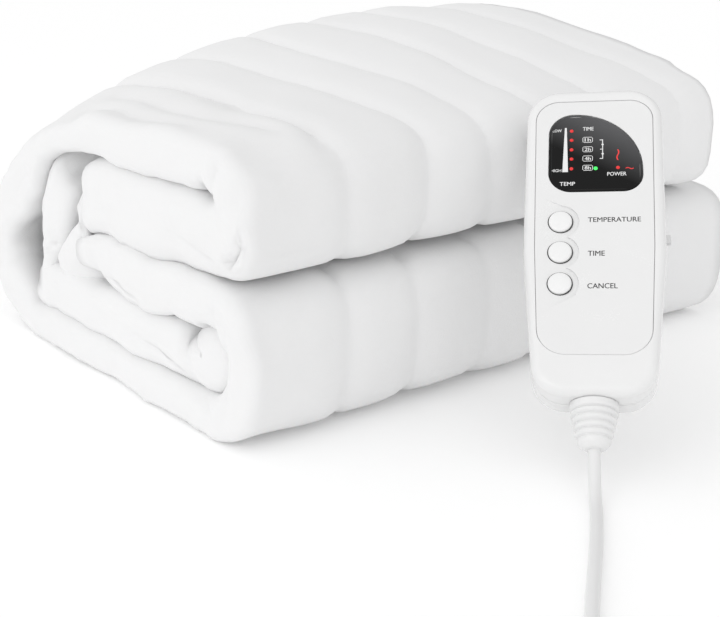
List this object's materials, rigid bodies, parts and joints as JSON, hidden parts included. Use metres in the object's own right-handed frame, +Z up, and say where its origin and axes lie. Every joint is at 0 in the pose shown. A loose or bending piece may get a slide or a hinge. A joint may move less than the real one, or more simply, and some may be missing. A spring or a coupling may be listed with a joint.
{
  "type": "massage table warmer",
  "caption": "White fleece heating pad for a massage table, folded in half and rolled into a loose bundle, with its wired hand controller leaning on the front.",
  "frame": {"origin": "on the surface that the bundle stands on, under the bundle", "axes": "+Z up; +X along the bundle from its closed fold towards its open hems; -Y towards the front, where the controller leans"},
  "size_m": [0.548, 0.5517, 0.1865],
  "materials": {
    "fleece": "soft brushed white fleece",
    "housing": "glossy white moulded",
    "buttons": "glossy white moulded",
    "display": "polished black window",
    "sheath": "satin white sheath",
    "blades": "nickel-plated"
  },
  "bodies": {
    "root": {"pad": "fleece", "front_shell": "housing", "back_shell": "housing", "face_plate": "housing", "display_window": "display", "cord_boot": "sheath", "cord_lead": "sheath", "cord_coil": "sheath", "cord_tail": "sheath", "plug_relief": "sheath", "plug_body": "sheath", "plug_blade_left": "blades", "plug_blade_right": "blades"},
    "temperature_key": {"temperature_button": "buttons"},
    "time_key": {"time_button": "buttons"},
    "cancel_key": {"cancel_button": "buttons"},
    "switch_knob": {"power_switch": "housing"}
  },
  "joints": [
    {"name": "temperature_press", "type": "slide", "parent": "root", "child": "temperature_key", "axis": [0.5734, 0.4384, -0.6921], "range_m": [0, 0.001], "stiffness_N_per_m": 400},
    {"name": "time_press", "type": "slide", "parent": "root", "child": "time_key", "axis": [0.5734, 0.4384, -0.6921], "range_m": [0, 0.001], "stiffness_N_per_m": 400},
    {"name": "cancel_press", "type": "slide", "parent": "root", "child": "cancel_key", "axis": [0.5734, 0.4384, -0.6921], "range_m": [0, 0.001], "stiffness_N_per_m": 400},
    {"name": "power_slide", "type": "slide", "parent": "root", "child": "switch_knob", "axis": [-0.4994, -0.4828, -0.7194], "range_m": [0, 0.005]}
  ]
}
